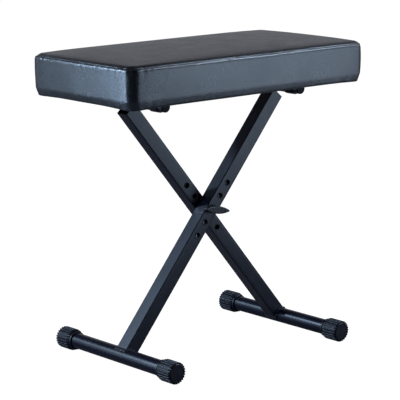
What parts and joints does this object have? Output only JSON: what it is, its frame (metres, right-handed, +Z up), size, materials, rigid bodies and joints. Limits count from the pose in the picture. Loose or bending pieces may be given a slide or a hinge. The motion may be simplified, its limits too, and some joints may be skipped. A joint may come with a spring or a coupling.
{
  "type": "keyboard bench",
  "caption": "Folding X-frame keyboard bench: padded vinyl seat hinged on two crossing square-tube legs, locked by a clamp bolt through their holes.",
  "frame": {"origin": "on the floor under the middle of the seat", "axes": "+X along the seat's length, -Y towards the front with the clamp knob, +Z up"},
  "size_m": [0.544, 0.32, 0.5511],
  "materials": {
    "seat_vinyl": "fine grained vinyl, semi-gloss",
    "foam": "open cell foam",
    "plywood": "bare plywood",
    "powder_coat": "satin black powder coat",
    "black_steel": "black zinc",
    "zinc_steel": "zinc plated",
    "foot_rubber": "matte ribbed rubber",
    "black_plastic": "moulded",
    "knob_plastic": "moulded, semi-gloss",
    "nylon": "black nylon"
  },
  "bodies": {
    "seat": {"cover_top_panel": "seat_vinyl", "cover_side_band": "seat_vinyl", "foam_pad": "foam", "seat_board": "plywood", "cover_staples": "zinc_steel", "strap_screws": "zinc_steel", "front_left_hinge_strap": "black_steel", "rear_left_hinge_strap": "black_steel", "front_right_hinge_strap": "black_steel", "rear_right_hinge_strap": "black_steel"},
    "front_leg": {"front_leg_tube": "powder_coat", "front_leg_hinge_tube": "powder_coat", "front_leg_hinge_plug_front": "black_plastic", "front_leg_hinge_plug_back": "black_plastic", "front_leg_top_weld": "powder_coat", "front_leg_foot_tube": "powder_coat", "front_leg_foot_weld": "powder_coat", "front_leg_foot_cap_front": "foot_rubber", "front_leg_foot_cap_back": "foot_rubber", "knob_washer": "black_steel"},
    "rear_leg": {"rear_leg_tube": "powder_coat", "rear_leg_hinge_tube": "powder_coat", "rear_leg_hinge_plug_front": "black_plastic", "rear_leg_hinge_plug_back": "black_plastic", "rear_leg_top_weld": "powder_coat", "rear_leg_foot_tube": "powder_coat", "rear_leg_foot_weld": "powder_coat", "rear_leg_foot_cap_front": "foot_rubber", "rear_leg_foot_cap_back": "foot_rubber", "leg_spacer": "nylon", "bolt_tail": "zinc_steel", "pivot_nut": "zinc_steel"},
    "clamp": {"clamp_knob": "knob_plastic", "clamp_bolt": "zinc_steel"}
  },
  "joints": [
    {"name": "front_leg_fold", "type": "hinge", "parent": "seat", "child": "front_leg", "pos_m": [0.158, 0, 0.46331], "axis": [0, 1, 0], "range_deg": [-7.8, 47.5]},
    {"name": "rear_leg_fold", "type": "hinge", "parent": "seat", "child": "rear_leg", "pos_m": [-0.158, 0, 0.46331], "axis": [0, -1, 0], "range_deg": [-7.8, 47.5]},
    {"name": "clamp_turn", "type": "hinge", "parent": "front_leg", "child": "clamp", "pos_m": [0, -0.03, 0.25656], "axis": [0, -1, 0], "continuous": true}
  ],
  "couplings": [
    {"joint": "rear_leg_fold", "follows": "front_leg_fold", "ratio": 1}
  ]
}
